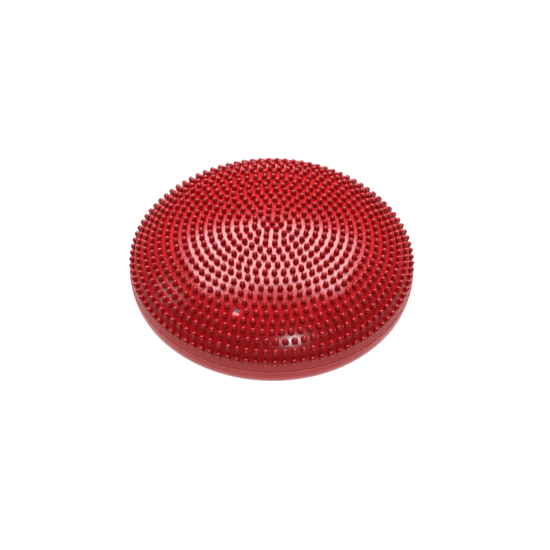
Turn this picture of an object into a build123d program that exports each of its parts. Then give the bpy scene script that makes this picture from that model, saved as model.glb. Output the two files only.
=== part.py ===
"""Wobble cushion: the hollow body of an inflatable PVC disc, with a needle valve near the rim.

Frame: the origin is the centre of the flat patch that rests on the floor, +Z is up, and bearings
start at +X. The nubs on the upper wall are soft surface relief and aren't solids here: they only set
the valve's place, because it takes the place of one nub. Millimetres and degrees.
"""
from build123d import *
from math import asin, cos, degrees, pi, radians, sin
import os

os.makedirs("parts", exist_ok=True)

# Bladder, outside of the wall
rim_radius = 165.0
equator_height = 46.0  # widest level, above the floor
crown_height = 68.3  # above the equator
foot_radius = 55.0  # flat patch on the floor
crown_radius = 377.0  # top arc of the dome
crown_angle = 17.0  # slope where the top arc ends
shoulder_angle = 45.0  # slope where the shoulder arc ends
under_angle = 30.0  # slope where the underside arc ends
wall = 3.5

# Welded seam
seam_height = 52.0
bead_radius = 0.9

# Valve, in place of one nub
nub_pitch = 10.13  # along the dome, from one ring of nubs to the next
valve_ring = 12  # counted from the top
valve_ring_places = 69  # nubs and valve in that ring
valve_step = 49  # places round the ring from +X
dimple_radius = 6.3
dimple_depth = 1.5
plug_head_radius = 2.5
plug_head_thickness = 1.0
plug_stem_radius = 2.0
plug_length = 12.5
plug_head_round = 0.4
plug_chamfer = 0.6
head_gap = 0.1
stem_gap = 0.05
needle_radius = 1.0
needle_depth = 8.0
needle_lead = 0.3
pocket_flange_radius = 9.0
pocket_flange_thickness = 1.8
pocket_sleeve_radius = 4.8
pocket_length = 11.0
pocket_round = 0.8
spot_face = 0.2  # depth of the flat that the pocket's flange is bonded to, at its middle


def closing_radii(run, rise, start, bend):
    """Radii of two tangent arcs, sloping from start to bend to upright, that cover the run and rise."""
    first_run = sin(radians(bend)) - sin(radians(start))
    first_rise = cos(radians(start)) - cos(radians(bend))
    last_run = 1 - sin(radians(bend))
    last_rise = cos(radians(bend))
    scale = first_run * last_rise - last_run * first_rise
    return (run * last_rise - rise * last_run) / scale, (rise * first_run - run * first_rise) / scale


top_height = equator_height + crown_height
shoulder_radius, rim_arc_radius = closing_radii(
    rim_radius - crown_radius * sin(radians(crown_angle)),
    crown_height - crown_radius * (1 - cos(radians(crown_angle))),
    crown_angle,
    shoulder_angle,
)
under_radius, low_arc_radius = closing_radii(
    rim_radius - foot_radius, equator_height, 0, under_angle
)


def seam_turn(inset):
    """Turn of the rim's arc from the widest level up to the seam, a given distance inside."""
    return degrees(asin((seam_height - equator_height) / (rim_arc_radius - inset)))


seam_radius = rim_radius - rim_arc_radius * (1 - cos(radians(seam_turn(0))))


def dome_outline(inset):
    """Half section of the upper half of the bladder, down to the seam, a given distance inside."""
    crown = JernArc((0, top_height - inset), (1, 0), crown_radius - inset, -crown_angle)
    shoulder = JernArc(
        crown @ 1, crown % 1, shoulder_radius - inset, crown_angle - shoulder_angle
    )
    rim = JernArc(
        shoulder @ 1, shoulder % 1, rim_arc_radius - inset, shoulder_angle + seam_turn(inset) - 90
    )
    Polyline(rim @ 1, (0, (rim @ 1).Y), crown @ 0)


def bowl_outline(inset):
    """Half section of the lower half of the bladder, up to the seam, a given distance inside."""
    foot = Line((0, inset), (foot_radius, inset))
    under = JernArc(foot @ 1, (1, 0), under_radius - inset, under_angle)
    low = JernArc(under @ 1, under % 1, low_arc_radius - inset, 90 - under_angle)
    rim = JernArc(low @ 1, low % 1, rim_arc_radius - inset, seam_turn(inset))
    Polyline(rim @ 1, (0, (rim @ 1).Y), foot @ 0)


def on_dome(distance):
    """Radius, height and slope of the dome's outside at a distance from its top along the surface."""
    radius, height, slope = 0.0, top_height, 0.0
    arcs = [
        (crown_radius, crown_angle),
        (shoulder_radius, shoulder_angle),
        (rim_arc_radius, 90.0),
    ]
    for arc_radius, arc_end in arcs:
        end = min(slope + degrees(distance / arc_radius), arc_end)
        distance -= arc_radius * radians(end - slope)
        radius += arc_radius * (sin(radians(end)) - sin(radians(slope)))
        height -= arc_radius * (cos(radians(slope)) - cos(radians(end)))
        slope = end
    return radius, height, slope


def surface_plane(distance, around):
    """Plane on the dome at a distance from its top and a bearing, with its normal out of the dome."""
    radius, height, slope = on_dome(distance)
    outwards = Vector(cos(around), sin(around), 0)
    return Plane(
        origin=outwards * radius + Vector(0, 0, height),
        x_dir=(-sin(around), cos(around), 0),
        z_dir=outwards * sin(radians(slope)) + Vector(0, 0, cos(radians(slope))),
    )


valve_plane = surface_plane(
    valve_ring * nub_pitch, 2 * pi * valve_step / valve_ring_places
)
valve_axis = Axis(valve_plane.origin, valve_plane.z_dir)
head_seat = -dimple_depth - plug_head_thickness

# Weld bead: a round ring along the seam, half of it outside the wall
with BuildPart() as seam_bead:
    with BuildSketch(Plane.XZ):
        with Locations((seam_radius, seam_height)):
            Circle(bead_radius)
    revolve(axis=Axis.Z)

# Upper half of the bladder
with BuildPart() as upper_shell:
    with BuildSketch(Plane.XZ):
        with BuildLine():
            dome_outline(0)
        make_face()
    revolve(axis=Axis.Z)
    with BuildSketch(Plane.XZ):
        with BuildLine():
            dome_outline(wall)
        make_face()
    revolve(axis=Axis.Z, mode=Mode.SUBTRACT)
    add(seam_bead.part, mode=Mode.SUBTRACT)
    with BuildSketch(valve_plane.offset(spot_face - wall)):
        Circle(pocket_flange_radius)
    extrude(amount=-pocket_flange_thickness, mode=Mode.SUBTRACT)
    with Locations(valve_plane.offset((dimple_radius**2 - dimple_depth**2) / 2 / dimple_depth)):
        Sphere((dimple_radius**2 + dimple_depth**2) / 2 / dimple_depth, mode=Mode.SUBTRACT)
    with BuildSketch(valve_plane.offset(head_seat)):
        Circle(plug_head_radius + head_gap)
    extrude(amount=wall, mode=Mode.SUBTRACT)
    with BuildSketch(valve_plane.offset(head_seat)):
        Circle(plug_stem_radius + stem_gap)
    extrude(amount=-wall, mode=Mode.SUBTRACT)
upper_shell.part.label = "upper_shell"
export_step(upper_shell.part, "parts/upper_shell.step")

# Lower half of the bladder
with BuildPart() as lower_shell:
    with BuildSketch(Plane.XZ):
        with BuildLine():
            bowl_outline(0)
        make_face()
    revolve(axis=Axis.Z)
    with BuildSketch(Plane.XZ):
        with BuildLine():
            bowl_outline(wall)
        make_face()
    revolve(axis=Axis.Z, mode=Mode.SUBTRACT)
    add(seam_bead.part, mode=Mode.SUBTRACT)
lower_shell.part.label = "lower_shell"
export_step(lower_shell.part, "parts/lower_shell.step")

seam_bead.part.label = "seam_bead"
export_step(seam_bead.part, "parts/seam_bead.step")

# Socket bonded inside the upper wall, which grips the plug's stem
pocket_plane = valve_plane.offset(spot_face - wall)
with BuildPart() as valve_pocket:
    with BuildSketch(pocket_plane):
        Circle(pocket_flange_radius)
    extrude(amount=-pocket_flange_thickness)
    with BuildSketch(pocket_plane):
        Circle(pocket_sleeve_radius)
    extrude(amount=-pocket_length)
    fillet(valve_pocket.faces().sort_by(valve_axis)[0].edges(), pocket_round)
    with BuildSketch(pocket_plane):
        Circle(plug_stem_radius + stem_gap)
    extrude(amount=-pocket_length, mode=Mode.SUBTRACT)
valve_pocket.part.label = "valve_pocket"
export_step(valve_pocket.part, "parts/valve_pocket.step")

# Rubber plug: a head that fills the bottom of the dimple, a stem, and a guide for the pump's needle
with BuildPart() as valve_plug:
    with BuildSketch(valve_plane.offset(head_seat)):
        Circle(plug_head_radius)
    extrude(amount=plug_head_thickness)
    with BuildSketch(valve_plane.offset(head_seat)):
        Circle(plug_stem_radius)
    extrude(amount=-plug_length)
    chamfer(valve_plug.faces().sort_by(valve_axis)[0].edges(), plug_chamfer)
    fillet(valve_plug.faces().sort_by(valve_axis)[-1].edges(), plug_head_round)
    with BuildSketch(valve_plane.offset(-dimple_depth)):
        Circle(needle_radius)
    extrude(amount=-needle_depth, mode=Mode.SUBTRACT)
    chamfer(valve_plug.faces().sort_by(valve_axis)[-1].inner_wires().edges(), needle_lead)
valve_plug.part.label = "valve_plug"
export_step(valve_plug.part, "parts/valve_plug.step")

print("valve at", valve_plane.origin, "axis", valve_plane.z_dir)
print("needle guide, middle", valve_plane.offset(-dimple_depth - (needle_depth + needle_lead) / 2).origin)
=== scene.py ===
"""Looks of the wobble cushion: a glossy red PVC disc with rings of nubs and a needle valve.

Metres. The origin is the middle of the patch that rests on the floor, +Z is up, and the first nub of
each ring lies on +X, apart from one ring that is turned by half a step.
"""

from math import asin, atan2, cos, degrees, pi, radians, sin

import bpy
from mathutils import Matrix, Vector

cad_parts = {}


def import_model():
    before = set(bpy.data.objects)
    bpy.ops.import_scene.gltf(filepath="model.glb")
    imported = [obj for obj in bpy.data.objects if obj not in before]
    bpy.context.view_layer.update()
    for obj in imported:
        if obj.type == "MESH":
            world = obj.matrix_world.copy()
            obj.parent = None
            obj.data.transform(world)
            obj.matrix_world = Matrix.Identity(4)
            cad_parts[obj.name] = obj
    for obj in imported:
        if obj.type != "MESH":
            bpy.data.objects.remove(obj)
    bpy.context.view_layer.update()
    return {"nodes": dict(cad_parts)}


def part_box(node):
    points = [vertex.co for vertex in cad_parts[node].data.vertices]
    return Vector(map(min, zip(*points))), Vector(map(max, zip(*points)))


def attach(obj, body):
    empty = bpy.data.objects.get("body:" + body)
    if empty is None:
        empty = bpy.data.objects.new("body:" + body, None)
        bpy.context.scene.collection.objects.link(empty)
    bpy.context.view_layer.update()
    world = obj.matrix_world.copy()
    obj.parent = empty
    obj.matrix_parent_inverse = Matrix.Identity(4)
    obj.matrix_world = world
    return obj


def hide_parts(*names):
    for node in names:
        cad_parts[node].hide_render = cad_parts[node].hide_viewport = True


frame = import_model()

MM = 0.001

# Bladder, from the CAD model
RIM_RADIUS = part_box("lower_shell")[1].x
SEAM_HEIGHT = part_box("upper_shell")[0].z
TOP_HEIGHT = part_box("upper_shell")[1].z
EQUATOR_HEIGHT = 46 * MM
FOOT_RADIUS = 55 * MM
CROWN_RADIUS = 377 * MM
CROWN_ANGLE = radians(17)
SHOULDER_ANGLE = radians(45)
UNDER_ANGLE = radians(30)
WALL = 3.5 * MM
UNDER_STEPS = 24  # mesh steps along each arc of the lower half
LOW_STEPS = 16
RIM_STEPS = 5

# Nubs
NUB_PITCH = 10.13 * MM
NUBS_PER_RING = [6, 12, 18, 24, 30, 36, 43, 48, 54, 58, 64, 69, 76, 84, 90, 94, 98]
STAGGERED_RING = 2  # turned by half a step
LAST_EVEN_RING = 15  # the rings past this one are further apart
RIM_SPREAD = 1.5 * MM  # added to each gap past that ring
NUB_HEIGHT = 6.5 * MM
NUB_FOOT_RADIUS = 3.25 * MM
NUB_SHOULDER_RADIUS = 3.1 * MM
NUB_SHOULDER_HEIGHT = 3.9 * MM
NUB_POINT = 1.1  # 1 makes the tip round and 2 makes it a cone
NUB_FILLET = 0.7 * MM
NUB_LEAN = 0.3  # share of the dome's slope that a nub leans by
CELL_STEPS = 3  # mesh steps along one side of a nub's cell
FOOT_STEPS = 2  # mesh steps up the foot of a nub
TIP_STEPS = 4  # mesh steps from a nub's shoulder to its tip
NUB_SPOKES = 4 * CELL_STEPS
CELL_SHARE = 0.45  # half of a cell's length along the dome, in nub pitches
CELL_CORNER = radians(225)  # direction of a cell's first corner from its middle

# Valve, in place of one nub
VALVE_RING = 12
VALVE_STEP = 49
DIMPLE_RADIUS = 6.3 * MM
DIMPLE_DEPTH = 1.5 * MM
DIMPLE_FULLNESS = 0.6  # 0 makes the dimple narrow and 1 makes it wide at the bottom
HEAD_RADIUS = 2.5 * MM
HEAD_THICKNESS = 1.0 * MM
HEAD_GAP = 0.1 * MM
HEAD_ROUND = 0.4 * MM
STEM_RADIUS = 2.0 * MM
STEM_GAP = 0.05 * MM
VALVE_SPOKES = 32
PLUG_LENGTH = 12.5 * MM
NEEDLE_RADIUS = 1.0 * MM
NEEDLE_DEPTH = 8.0 * MM

# Seam
BEAD_WIDTH = 0.9 * MM  # out from the middle of the bead
BEAD_HEIGHT = 0.8 * MM  # up from the middle of the bead
WELD_WAVES = ((7, 0.06, 1.3), (23, 0.05, 0.0), (61, 0.03, 0.0))  # waves round, size and start
LIP_EASE = 0.3 * MM  # how far the edge of each half is eased where they meet
LIP_STEP = 0.8 * MM
LIP_DROP = 0.03 * MM
LIP_INSIDE = WALL - 0.2 * MM
SKIN_END = 0.4 * MM  # the outer skins stop this far from the seam


# ---------------------------------------------------------------- outline


def closing_radii(run, rise, start, bend):
    """Radii of two tangent arcs, sloping from start to bend to upright, that cover the run and rise."""
    first_run = sin(bend) - sin(start)
    first_rise = cos(start) - cos(bend)
    last_run = 1 - sin(bend)
    last_rise = cos(bend)
    scale = first_run * last_rise - last_run * first_rise
    return (run * last_rise - rise * last_run) / scale, (rise * first_run - run * first_rise) / scale


SHOULDER_RADIUS, RIM_ARC_RADIUS = closing_radii(
    RIM_RADIUS - CROWN_RADIUS * sin(CROWN_ANGLE),
    TOP_HEIGHT - EQUATOR_HEIGHT - CROWN_RADIUS * (1 - cos(CROWN_ANGLE)),
    CROWN_ANGLE,
    SHOULDER_ANGLE,
)
UNDER_RADIUS, LOW_ARC_RADIUS = closing_radii(
    RIM_RADIUS - FOOT_RADIUS, EQUATOR_HEIGHT, 0, UNDER_ANGLE
)
SEAM_SLOPE = pi / 2 - asin((SEAM_HEIGHT - EQUATOR_HEIGHT) / RIM_ARC_RADIUS)
DOME_ARCS = [
    (CROWN_RADIUS, CROWN_ANGLE),
    (SHOULDER_RADIUS, SHOULDER_ANGLE),
    (RIM_ARC_RADIUS, SEAM_SLOPE),
]
DOME_LENGTH = (
    CROWN_RADIUS * CROWN_ANGLE
    + SHOULDER_RADIUS * (SHOULDER_ANGLE - CROWN_ANGLE)
    + RIM_ARC_RADIUS * (SEAM_SLOPE - SHOULDER_ANGLE)
)


def on_dome(distance):
    """Radius, height and slope of the dome's outside at a distance from its top along the surface."""
    radius, height, slope = 0.0, TOP_HEIGHT, 0.0
    for arc_radius, arc_end in DOME_ARCS:
        end = min(slope + distance / arc_radius, arc_end)
        distance -= arc_radius * (end - slope)
        radius += arc_radius * (sin(end) - sin(slope))
        height -= arc_radius * (cos(slope) - cos(end))
        slope = end
    return radius, height, slope


def tangents(slope, around):
    """Outward normal, downhill direction and sideways direction of the dome at a slope and bearing."""
    out = Vector((cos(around), sin(around), 0))
    up = Vector((0, 0, 1))
    normal = out * sin(slope) + up * cos(slope)
    downhill = out * cos(slope) - up * sin(slope)
    return normal, downhill, Vector((-sin(around), cos(around), 0))


def dome_point(distance, around, inset=0.0):
    """Point of the dome, and its normal, at a distance from the top and a bearing."""
    radius, height, slope = on_dome(distance)
    normal, _, _ = tangents(slope, around)
    return Vector((radius * cos(around), radius * sin(around), height)) - normal * inset, normal


def ring_distance(ring):
    """Distance of a ring of nubs from the top of the dome, along the surface."""
    return ring * NUB_PITCH + max(0, ring - LAST_EVEN_RING) * RIM_SPREAD


def bearing(ring, step):
    """Direction of a nub round the dome."""
    half_step = 0.5 if ring == STAGGERED_RING else 0.0
    return 2 * pi * (step + half_step) / NUBS_PER_RING[ring - 1]


VALVE_POINT, VALVE_NORMAL = dome_point(VALVE_RING * NUB_PITCH, bearing(VALVE_RING, VALVE_STEP))
_, VALVE_DOWNHILL, VALVE_SIDEWAYS = tangents(
    on_dome(VALVE_RING * NUB_PITCH)[2], bearing(VALVE_RING, VALVE_STEP)
)


def skin_point(distance, around):
    """Point of the outer skin and its normal, with the dimple round the valve."""
    point, normal = dome_point(distance, around)
    away = point - VALVE_POINT
    reach = away.length / DIMPLE_RADIUS
    if reach >= 1:
        return point, normal
    sink = DIMPLE_DEPTH * (1 - reach**2) ** 2 * (1 + DIMPLE_FULLNESS * reach**2)
    step = 1e-3
    nearby = reach + step
    fall = DIMPLE_DEPTH * (1 - nearby**2) ** 2 * (1 + DIMPLE_FULLNESS * nearby**2) - sink
    tilt = fall / (step * DIMPLE_RADIUS)
    if away.length > 0:
        normal = (normal + away.normalized() * tilt).normalized()
    return point - VALVE_NORMAL * sink, normal


# ---------------------------------------------------------------- mesh building


class Skin:
    """A mesh built from closed loops of points. Points with a normal of their own keep it."""

    def __init__(self):
        self.points = []
        self.normals = []
        self.nubs = []
        self.faces = []
        self.on_nub = 0.0

    def add(self, point, normal=None):
        self.points.append(point)
        self.normals.append(normal or Vector((0, 0, 0)))
        self.nubs.append(self.on_nub)
        return len(self.points) - 1

    def loop(self, places):
        return [self.add(*place) for place in places]

    def strip(self, outer, inner):
        """Quads between two closed loops of the same number of points."""
        count = len(outer)
        for i in range(count):
            j = (i + 1) % count
            self.faces.append((outer[i], outer[j], inner[j], inner[i]))

    def fan(self, loop, tip):
        for i, corner in enumerate(loop):
            self.faces.append((corner, loop[(i + 1) % len(loop)], tip))

    def zip(self, outer, inner, angle_of):
        """Triangles between two closed loops of different numbers of points, both anticlockwise."""
        def unrolled(loop):
            turns = [angle_of(self.points[i]) % (2 * pi) for i in loop]
            first = turns.index(min(turns))
            order = loop[first:] + loop[:first]
            angles = turns[first:] + turns[:first]
            return order + [order[0]], angles + [angles[0] + 2 * pi]

        a, a_turns = unrolled(outer)
        b, b_turns = unrolled(inner)
        i = j = 0
        while i < len(a) - 1 or j < len(b) - 1:
            if j == len(b) - 1 or (i < len(a) - 1 and a_turns[i + 1] <= b_turns[j + 1]):
                self.faces.append((a[i], a[i + 1], b[j]))
                i += 1
            else:
                self.faces.append((a[i], b[j + 1], b[j]))
                j += 1

    def piece(self, name, body, nodes, material, slot):
        used = sorted({index for face in self.faces for index in face})
        place = {index: i for i, index in enumerate(used)}
        faces = [[place[index] for index in face] for face in self.faces]
        mesh = bpy.data.meshes.new(name)
        mesh.from_pydata([self.points[index] for index in used], [], faces)
        mesh.validate()
        mesh.shade_smooth()
        mesh.normals_split_custom_set_from_vertices([self.normals[index] for index in used])
        # share of each point that is nub, which the red PVC uses to paint shade on the nubs
        share = mesh.attributes.new("nub", "FLOAT", "POINT")
        share.data.foreach_set("value", [self.nubs[index] for index in used])
        mesh.materials.append(material)
        piece = bpy.data.objects.new(name, mesh)
        bpy.context.scene.collection.objects.link(piece)
        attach(piece, body)
        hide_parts(*nodes)
        return piece


def angle_at_axis(point):
    return atan2(point.y, point.x)


def angle_at_valve(point):
    away = point - VALVE_POINT
    return atan2(away.dot(VALVE_SIDEWAYS), away.dot(VALVE_DOWNHILL))


def arc(start, end, centre, radius, steps):
    """Places on an arc between two angles, as (across, up) pairs."""
    return [
        (centre[0] + radius * cos(a), centre[1] + radius * sin(a))
        for a in (start + (end - start) * i / steps for i in range(steps + 1))
    ]


def nub_profile():
    """(radius, height) of a nub from its foot to its tip, in even steps round the foot and the tip."""
    foot = arc(-pi / 2, -pi, (NUB_FOOT_RADIUS + NUB_FILLET, NUB_FILLET), NUB_FILLET, FOOT_STEPS)
    side = [(NUB_SHOULDER_RADIUS, NUB_SHOULDER_HEIGHT)]
    crown = [
        (
            NUB_SHOULDER_RADIUS * cos(pi / 2 * i / TIP_STEPS) ** NUB_POINT,
            NUB_SHOULDER_HEIGHT
            + (NUB_HEIGHT - NUB_SHOULDER_HEIGHT) * sin(pi / 2 * i / TIP_STEPS) ** NUB_POINT,
        )
        for i in range(1, TIP_STEPS)
    ]
    return foot, side + crown


NUB_FOOT, NUB_TOP = nub_profile()


def add_nub(skin, cell, distance, around):
    """A nub inside a cell: its foot follows the skin, and the rest stands along the nub's own axis."""
    radius, _, slope = on_dome(distance)
    base, _ = skin_point(distance, around)
    axis, downhill, sideways = tangents(slope * NUB_LEAN, around)
    turns = [CELL_CORNER + 2 * pi * i / len(cell) for i in range(len(cell))]
    previous = cell
    last = len(NUB_FOOT) - 1
    for i, (across, height) in enumerate(NUB_FOOT):
        share = i / last
        places = []
        for turn in turns:
            if radius > 0:
                aside = around + across * sin(turn) / max(radius, across)
                on_skin, normal = skin_point(distance + across * cos(turn), aside)
            else:
                on_skin, normal = skin_point(across, turn)
            spoke = downhill * cos(turn) + sideways * sin(turn)
            standing = base + axis * height + spoke * across
            places.append((on_skin.lerp(standing, share), normal if i == 0 else None))
        skin.on_nub = share
        loop = skin.loop(places)
        skin.strip(previous, loop)
        previous = loop
    for across, height in NUB_TOP:
        loop = skin.loop(
            [
                (base + axis * height + (downhill * cos(t) + sideways * sin(t)) * across, None)
                for t in turns
            ]
        )
        skin.strip(previous, loop)
        previous = loop
    skin.fan(previous, skin.add(base + axis * NUB_HEIGHT))
    skin.on_nub = 0.0


def valve_place(across, up, turn):
    spoke = VALVE_DOWNHILL * cos(turn) + VALVE_SIDEWAYS * sin(turn)
    return VALVE_POINT + spoke * across + VALVE_NORMAL * up


def add_valve_hole(skin, cell):
    """The dimple's floor and the stepped hole for the plug. Returns the hole's inner edge."""
    turns = [2 * pi * i / VALVE_SPOKES for i in range(VALVE_SPOKES)]
    hole = HEAD_RADIUS + HEAD_GAP
    bore = STEM_RADIUS + STEM_GAP
    seat = -DIMPLE_DEPTH - HEAD_THICKNESS
    distance = VALVE_RING * NUB_PITCH
    around = bearing(VALVE_RING, VALVE_STEP)
    radius = on_dome(distance)[0]
    previous = None
    for across in (4.2 * MM, 3.8 * MM, 3.3 * MM, hole + 0.25 * MM):
        loop = skin.loop(
            [
                skin_point(distance + across * cos(t), around + across * sin(t) / radius)
                for t in turns
            ]
        )
        if previous:
            skin.strip(previous, loop)
        else:
            skin.zip(cell, loop, angle_at_valve)
        previous = loop
    rim = (skin.points[previous[0]] - VALVE_POINT).dot(VALVE_NORMAL)
    steps = [
        (hole + 0.08 * MM, rim - 0.06 * MM),
        (hole, rim - 0.25 * MM),
        (hole, seat + 0.1 * MM),
        (hole, seat),
        (bore + 0.1 * MM, seat),
        (bore, seat),
        (bore, -WALL - 0.05 * MM),
    ]
    for across, up in steps:
        loop = skin.loop([(valve_place(across, up, t), None) for t in turns])
        skin.strip(previous, loop)
        previous = loop
    return previous


def add_ring(skin, ring):
    """One ring of cells, each with its nub or the valve. Returns its inner and outer circles and hole."""
    count = NUBS_PER_RING[ring - 1]
    middle = ring_distance(ring)
    near = middle - CELL_SHARE * NUB_PITCH
    far = middle + CELL_SHARE * NUB_PITCH
    step = 2 * pi / count

    def circle(distance):
        return skin.loop(
            [
                skin_point(distance, bearing(ring, 0) + step * (i / CELL_STEPS - 0.5))
                for i in range(count * CELL_STEPS)
            ]
        )

    inner, outer = circle(near), circle(far)
    sides = [
        skin.loop(
            [
                skin_point(near + (far - near) * i / CELL_STEPS, bearing(ring, 0) + step * (j - 0.5))
                for i in range(1, CELL_STEPS)
            ]
        )
        for j in range(count)
    ]
    hole = None
    for j in range(count):
        first = j * CELL_STEPS
        last = (first + CELL_STEPS) % len(inner)
        cell = [inner[first]] + sides[j] + outer[first:first + CELL_STEPS] + [outer[last]]
        cell += sides[(j + 1) % count][::-1] + [inner[last]]
        cell += inner[first + 1:first + CELL_STEPS][::-1]
        if (ring, j) == (VALVE_RING, VALVE_STEP):
            hole = add_valve_hole(skin, cell)
        else:
            add_nub(skin, cell, middle, bearing(ring, j))
    return inner, outer, hole


def add_inner_wall(skin, edge, hole):
    """The inside of the dome, from the seam's edge to the top, with the valve's hole left in it."""
    sides = 96
    rows = 30
    first_face = len(skin.faces)
    loops = []
    for i in range(rows):
        distance = DOME_LENGTH * (1 - i / rows)
        loops.append(
            skin.loop(
                [
                    dome_point(distance, 2 * pi * k / sides + bearing(VALVE_RING, VALVE_STEP), WALL)
                    for k in range(sides)
                ]
            )
        )
    for loop in loops:
        for index in loop:
            skin.normals[index] = -skin.normals[index]
    skin.zip(edge, loops[0], angle_at_axis)
    valve_row = round(rows * (1 - VALVE_RING * NUB_PITCH / DOME_LENGTH))
    reach = 2
    for i in range(rows - 1):
        for k in range(sides):
            close = -reach <= (k + sides // 2) % sides - sides // 2 < reach
            if close and valve_row - reach <= i < valve_row + reach:
                continue
            m = (k + 1) % sides
            skin.faces.append((loops[i][k], loops[i][m], loops[i + 1][m], loops[i + 1][k]))
    top, normal = dome_point(0, 0, WALL)
    skin.fan(loops[-1], skin.add(top, -normal))
    around = list(range(-reach, reach + 1))
    low, high = valve_row - reach, valve_row + reach
    window = [loops[low][k] for k in around]
    window += [loops[i][reach] for i in range(low + 1, high)]
    window += [loops[high][k] for k in reversed(around)]
    window += [loops[i][-reach] for i in range(high - 1, low, -1)]
    window.sort(key=lambda index: angle_at_valve(skin.points[index]) % (2 * pi))
    skin.zip(window, hole, angle_at_valve)
    skin.faces[first_face:] = [face[::-1] for face in skin.faces[first_face:]]


def upper_shell_mesh():
    """The upper half: centre nub, rings, smooth edge, seam face and inside."""
    skin = Skin()
    middle = skin.loop(
        [
            skin_point(CELL_SHARE * NUB_PITCH, CELL_CORNER + 2 * pi * i / NUB_SPOKES)
            for i in range(NUB_SPOKES)
        ]
    )
    add_nub(skin, middle, 0.0, 0.0)
    previous = middle
    hole = None
    for ring in range(1, len(NUBS_PER_RING) + 1):
        inner, outer, found = add_ring(skin, ring)
        skin.zip(inner, previous, angle_at_axis)
        previous = outer
        hole = hole or found
    count = len(previous)
    start = bearing(len(NUBS_PER_RING), 0) - pi / NUBS_PER_RING[-1]
    edge = ring_distance(len(NUBS_PER_RING)) + CELL_SHARE * NUB_PITCH
    rows = 6
    for i in range(1, rows + 1):
        distance = edge + (DOME_LENGTH - SKIN_END - edge) * i / rows
        loop = skin.loop([skin_point(distance, start + 2 * pi * k / count) for k in range(count)])
        skin.strip(loop, previous)
        previous = loop
    seam_radius = on_dome(DOME_LENGTH)[0]
    for radius, height in (
        (seam_radius - LIP_EASE, SEAM_HEIGHT + LIP_DROP),
        (seam_radius - LIP_STEP, SEAM_HEIGHT),
        (seam_radius - LIP_INSIDE, SEAM_HEIGHT),
    ):
        loop = skin.loop(
            [
                (Vector((radius * cos(a), radius * sin(a), height)), None)
                for a in (start + 2 * pi * k / count for k in range(count))
            ]
        )
        skin.strip(loop, previous)
        previous = loop
    add_inner_wall(skin, previous, hole)
    return skin


# ---------------------------------------------------------------- lower half, seam and valve parts


def lathe(skin, outline, sides, plane=None):
    """Turns (radius, height) places, bottom to top on the outside, into loops joined by strips."""
    origin, across, along, up = plane or (
        Vector((0, 0, 0)), Vector((1, 0, 0)), Vector((0, 1, 0)), Vector((0, 0, 1))
    )
    loops = []
    for radius, height in outline:
        turns = [2 * pi * k / sides for k in range(sides)]
        loops.append(
            skin.loop(
                [
                    (origin + (across * cos(t) + along * sin(t)) * radius + up * height, None)
                    for t in turns
                ]
            )
        )
    for lower, upper in zip(loops, loops[1:]):
        skin.strip(lower, upper)
    return loops


def bowl_outline(inset):
    """(radius, height) places of the lower half, from the foot's edge to the seam."""
    under = arc(
        -pi / 2, -pi / 2 + UNDER_ANGLE, (FOOT_RADIUS, UNDER_RADIUS), UNDER_RADIUS - inset, UNDER_STEPS
    )
    low_centre = (RIM_RADIUS - LOW_ARC_RADIUS, EQUATOR_HEIGHT)
    low = arc(-pi / 2 + UNDER_ANGLE, 0, low_centre, LOW_ARC_RADIUS - inset, LOW_STEPS)
    rim_centre = (RIM_RADIUS - RIM_ARC_RADIUS, EQUATOR_HEIGHT)
    rim = arc(0, pi / 2 - SEAM_SLOPE, rim_centre, RIM_ARC_RADIUS - inset, RIM_STEPS)
    return under + low[1:] + rim[1:]


def lower_shell_mesh():
    """The lower half: foot, underside, rim, seam face and inside."""
    skin = Skin()
    sides = 256
    foot = [(FOOT_RADIUS * share, 0.0) for share in (0.02, 0.2, 0.4, 0.6, 0.8, 0.93)]
    outside = foot + bowl_outline(0)
    seam_radius = outside[-1][0]
    outside[-1] = (seam_radius - 0.05 * MM, SEAM_HEIGHT - SKIN_END)
    lip = [
        (seam_radius - LIP_EASE, SEAM_HEIGHT - LIP_DROP),
        (seam_radius - LIP_STEP, SEAM_HEIGHT),
        (seam_radius - LIP_INSIDE, SEAM_HEIGHT),
    ]
    inside = bowl_outline(WALL)[::-1]
    floor = [(radius, WALL) for radius, _ in foot[::-1]]
    loops = lathe(skin, outside + lip + inside + floor, sides)
    skin.fan(loops[0][::-1], skin.add(Vector((0, 0, 0))))
    skin.fan(loops[-1], skin.add(Vector((0, 0, WALL))))
    return skin


def seam_bead_mesh():
    """The weld bead: a low ridge round the rim, a little uneven as welds are."""
    skin = Skin()
    sides = 360
    seam_radius = on_dome(DOME_LENGTH)[0]
    loops = []
    section = 14
    for i in range(section):
        turn = 2 * pi * i / section
        places = []
        for k in range(sides):
            around = 2 * pi * k / sides
            wave = 1 + sum(size * sin(waves * around + first) for waves, size, first in WELD_WAVES)
            out = BEAD_WIDTH * wave * cos(turn)
            up = BEAD_HEIGHT * (1 + 0.5 * (wave - 1)) * sin(turn)
            radius = seam_radius + out
            places.append((Vector((radius * cos(around), radius * sin(around), SEAM_HEIGHT + up)), None))
        loops.append(skin.loop(places))
    for lower, upper in zip(loops, loops[1:] + loops[:1]):
        skin.strip(lower, upper)
    return skin


VALVE_PLANE = (VALVE_POINT, VALVE_DOWNHILL, VALVE_SIDEWAYS, VALVE_NORMAL)


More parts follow.
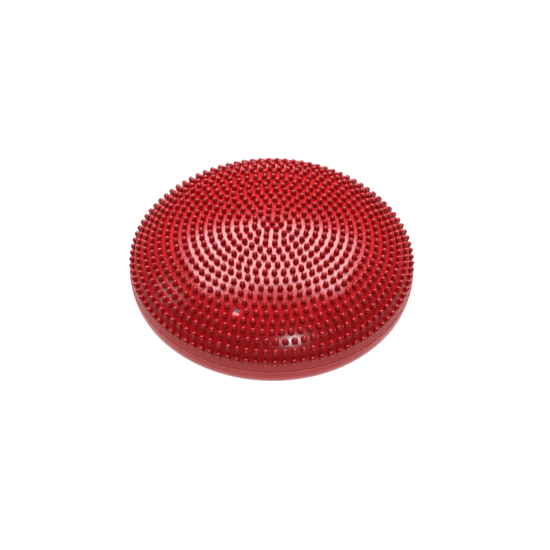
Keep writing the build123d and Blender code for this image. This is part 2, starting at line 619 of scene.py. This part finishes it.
def valve_plug_mesh():
    """The rubber plug: rounded head with a raised lip, guide for the needle, and a tapered stem."""
    skin = Skin()
    seat = -DIMPLE_DEPTH - HEAD_THICKNESS
    top = -DIMPLE_DEPTH
    stem_end = seat - PLUG_LENGTH
    outline = [
        (0.3 * MM, stem_end),
        (1.5 * MM, stem_end),
        (1.75 * MM, stem_end + 0.08 * MM),
        (STEM_RADIUS - 0.05 * MM, stem_end + 0.55 * MM),
        (STEM_RADIUS, stem_end + 0.8 * MM),
        (STEM_RADIUS, seat - 0.15 * MM),
        (STEM_RADIUS + 0.04 * MM, seat - 0.02 * MM),
        (STEM_RADIUS + 0.15 * MM, seat),
        (HEAD_RADIUS - 0.15 * MM, seat),
        (HEAD_RADIUS, seat + 0.12 * MM),
        (HEAD_RADIUS, top - HEAD_ROUND),
    ]
    outline += [
        (HEAD_RADIUS - HEAD_ROUND + HEAD_ROUND * cos(a), top - HEAD_ROUND + HEAD_ROUND * sin(a))
        for a in (radians(22.5 * i) for i in range(1, 5))
    ]
    outline += [
        (HEAD_RADIUS - 0.7 * MM, top - 0.05 * MM),
        (NEEDLE_RADIUS + 0.45 * MM, top - 0.18 * MM),
        (NEEDLE_RADIUS + 0.2 * MM, top - 0.22 * MM),
        (NEEDLE_RADIUS + 0.04 * MM, top - 0.38 * MM),
        (NEEDLE_RADIUS, top - 0.6 * MM),
        (NEEDLE_RADIUS, top - NEEDLE_DEPTH + 0.3 * MM),
        (NEEDLE_RADIUS - 0.3 * MM, top - NEEDLE_DEPTH),
        (0.1 * MM, top - NEEDLE_DEPTH),
    ]
    loops = lathe(skin, outline, 48, VALVE_PLANE)
    skin.fan(loops[0][::-1], skin.add(VALVE_POINT + VALVE_NORMAL * stem_end))
    skin.fan(loops[-1], skin.add(VALVE_POINT + VALVE_NORMAL * (top - NEEDLE_DEPTH)))
    return skin


# ---------------------------------------------------------------- materials


def material(name, **values):
    """A Principled material, its uniform values set on the shader's own sockets."""
    made = bpy.data.materials.new(name)
    made.use_nodes = True
    shader = made.node_tree.nodes["Principled BSDF"]
    for socket, value in values.items():
        shader.inputs[socket.replace("_", " ")].default_value = value
    return made, made.node_tree, shader


def node(tree, kind, **settings):
    made = tree.nodes.new(kind)
    for key, value in settings.items():
        if key in made.inputs:
            made.inputs[key].default_value = value
        else:
            setattr(made, key, value)
    return made


def noise(tree, place, scale, detail=2.0):
    made = node(tree, "ShaderNodeTexNoise", Scale=scale, Detail=detail)
    tree.links.new(place.outputs["Object"], made.inputs["Vector"])
    return made.outputs["Fac"]


def ramp(tree, factor, low, high, dark, light):
    """Colour that runs from dark to light as the factor runs from low to high."""
    made = node(tree, "ShaderNodeValToRGB")
    made.color_ramp.elements[0].position = low
    made.color_ramp.elements[1].position = high
    made.color_ramp.elements[0].color = (*dark, 1)
    made.color_ramp.elements[1].color = (*light, 1)
    tree.links.new(factor, made.inputs["Fac"])
    return made.outputs["Color"]


def spread(tree, factor, low, high):
    """Value that runs from low to high as a noise factor runs over its usual range."""
    made = node(tree, "ShaderNodeMapRange")
    made.inputs["From Min"].default_value = 0.3
    made.inputs["From Max"].default_value = 0.7
    made.inputs["To Min"].default_value = low
    made.inputs["To Max"].default_value = high
    tree.links.new(factor, made.inputs["Value"])
    return made.outputs["Result"]


def bump(tree, factor, shader, distance):
    made = node(tree, "ShaderNodeBump", Distance=distance, Strength=1.0)
    tree.links.new(factor, made.inputs["Height"])
    tree.links.new(made.outputs["Normal"], shader.inputs["Normal"])


NUB_PAINTED_SHADE = (0.74, 0.66, 0.6)  # painted shade: what the red is multiplied by on a nub to darken it


def red_pvc(name, dark, light, roughness):
    """Glossy flexible PVC: faint mottling, painted shade that darkens the nubs, uneven gloss and a moulded
    skin's shallow ripple.
    """
    made, tree, shader = material(name, IOR=1.46, Coat_Weight=0.0)
    place = node(tree, "ShaderNodeTexCoord")
    colour = ramp(tree, noise(tree, place, 38.0, 3.0), 0.3, 0.7, dark, light)
    # painted shade: the red is darkened on the nubs, by the share of each point that is nub
    share = node(tree, "ShaderNodeAttribute", attribute_name="nub")
    shade = ramp(tree, share.outputs["Fac"], 0.2, 0.9, (1, 1, 1), NUB_PAINTED_SHADE)
    with_painted_shade = node(tree, "ShaderNodeMix", data_type="RGBA", blend_type="MULTIPLY")
    with_painted_shade.inputs["Factor"].default_value = 1.0
    tree.links.new(colour, with_painted_shade.inputs[6])
    tree.links.new(shade, with_painted_shade.inputs[7])
    tree.links.new(with_painted_shade.outputs[2], shader.inputs["Base Color"])
    gloss = spread(tree, noise(tree, place, 150.0, 4.0), roughness - 0.04, roughness + 0.05)
    tree.links.new(gloss, shader.inputs["Roughness"])
    bump(tree, noise(tree, place, 420.0, 2.0), shader, 0.00003)
    return made


def grey_rubber():
    made, tree, shader = material("plug_rubber", IOR=1.5)
    place = node(tree, "ShaderNodeTexCoord")
    speckle = noise(tree, place, 900.0, 4.0)
    colour = ramp(tree, speckle, 0.3, 0.7, (0.16, 0.16, 0.155), (0.24, 0.24, 0.23))
    tree.links.new(colour, shader.inputs["Base Color"])
    tree.links.new(spread(tree, speckle, 0.42, 0.58), shader.inputs["Roughness"])
    bump(tree, noise(tree, place, 2600.0, 2.0), shader, 0.00003)
    return made


# ---------------------------------------------------------------- assembly

SKIN_RED = red_pvc("red_pvc", (0.42, 0.005, 0.007), (0.48, 0.006, 0.009), 0.17)
# painted highlight: the bead's red is lighter and pinker than the skin's so the seam shows as a thin bright
# line
BEAD_RED_PAINTED_HIGHLIGHT = red_pvc("bead_pvc_painted_highlight", (0.62, 0.090, 0.090), (0.70, 0.110, 0.110), 0.50)
POCKET_RED = red_pvc("pocket_pvc", (0.20, 0.004, 0.005), (0.25, 0.005, 0.006), 0.50)
RUBBER = grey_rubber()
SHARP_ANGLE = radians(50)

upper = upper_shell_mesh().piece("upper_skin", "bladder", ["upper_shell"], SKIN_RED, "red_pvc")
lower = lower_shell_mesh().piece("lower_skin", "bladder", ["lower_shell"], SKIN_RED, "red_pvc")
seam_bead_mesh().piece("weld_bead", "bladder", ["seam_bead"], BEAD_RED_PAINTED_HIGHLIGHT, "red_pvc")
valve_plug_mesh().piece("needle_plug", "plug", ["valve_plug"], RUBBER, "plug_rubber")
for made in (upper, lower):
    made.data.set_sharp_from_angle(angle=SHARP_ANGLE)
frame["nodes"]["valve_pocket"].data.materials.clear()
frame["nodes"]["valve_pocket"].data.materials.append(POCKET_RED)

# ---------------------------------------------------------------- studio


def floor():
    mesh = bpy.data.meshes.new("studio_floor")
    half = 9.0
    mesh.from_pydata(
        [(-half, -half, 0), (half, -half, 0), (half, half, 0), (-half, half, 0)], [], [(0, 1, 2, 3)]
    )
    made, _, _ = material(
        "floor_white",
        Base_Color=(0.15, 0.15, 0.15, 1),
        Roughness=0.9,
        Specular_IOR_Level=0.0,
        Emission_Color=(1, 1, 1, 1),
        Emission_Strength=1.0,
    )
    mesh.materials.append(made)
    obj = bpy.data.objects.new("studio_floor", mesh)
    bpy.context.scene.collection.objects.link(obj)


SOFTBOX_WHITE = (0.88, 0.93, 1.0)
SOFTBOX_DISTANCE = 2.2


def softbox(name, toward, width, height, power):
    """A rectangular light at a direction from the cushion's middle, facing it."""
    light = bpy.data.lights.new(name, "AREA")
    light.shape = "RECTANGLE"
    light.size = width
    light.size_y = height
    light.energy = power
    light.color = SOFTBOX_WHITE
    obj = bpy.data.objects.new(name, light)
    out = Vector(toward).normalized()
    obj.location = TARGET + out * SOFTBOX_DISTANCE
    obj.rotation_euler = out.to_track_quat("Z", "Y").to_euler()
    bpy.context.scene.collection.objects.link(obj)


def aim(elevation, azimuth):
    """Direction from the cushion: azimuth 0 is towards the camera, and 90 to the camera's right."""
    turn = VIEW_BEARING + radians(azimuth)
    rise = radians(elevation)
    return cos(turn) * cos(rise), sin(turn) * cos(rise), sin(rise)


# The camera looks down at the cushion from the side of the valve
VIEW_BEARING = radians(-86.25)
VIEW_ELEVATION = radians(45.55)
VIEW_ROLL = radians(-0.78)
VIEW_DISTANCE = 1.4335
VIEW_LENS = 81.1
VIEW_SHIFT = (0.0057, -0.0469)
TARGET = Vector((0, 0, EQUATOR_HEIGHT + 28.2 * MM))


def camera():
    data = bpy.data.cameras.new("camera")
    data.lens = VIEW_LENS
    data.sensor_width = 36.0
    data.shift_x, data.shift_y = VIEW_SHIFT
    obj = bpy.data.objects.new("camera", data)
    back = Vector(aim(degrees(VIEW_ELEVATION), 0))
    right = Vector((-sin(VIEW_BEARING), cos(VIEW_BEARING), 0))
    up = back.cross(right)
    turned_right = right * cos(VIEW_ROLL) - up * sin(VIEW_ROLL)
    turned_up = right * sin(VIEW_ROLL) + up * cos(VIEW_ROLL)
    obj.matrix_world = Matrix.Translation(TARGET + back * VIEW_DISTANCE) @ Matrix(
        (turned_right, turned_up, back)
    ).transposed().to_4x4()
    bpy.context.scene.collection.objects.link(obj)
    bpy.context.scene.camera = obj


def world():
    """White near the horizon and dim overhead, as a studio is beyond its backdrop."""
    made = bpy.data.worlds.new("studio")
    made.use_nodes = True
    tree = made.node_tree
    place = node(tree, "ShaderNodeTexCoord")
    split = node(tree, "ShaderNodeSeparateXYZ")
    tree.links.new(place.outputs["Generated"], split.inputs["Vector"])
    shade = ramp(tree, split.outputs["Z"], 0.03, 0.22, (1, 1, 1), (0.09, 0.09, 0.09))
    tree.links.new(shade, tree.nodes["Background"].inputs["Color"])
    bpy.context.scene.world = made


floor()
world()
camera()
softbox("back_softbox", aim(60, 180), 2.3, 1.3, 118)
softbox("front_softbox", aim(51, 20), 0.40, 0.30, 11)
softbox("left_softbox", aim(34, -100), 0.6, 0.9, 5)
bpy.context.scene.view_settings.view_transform = "Standard"
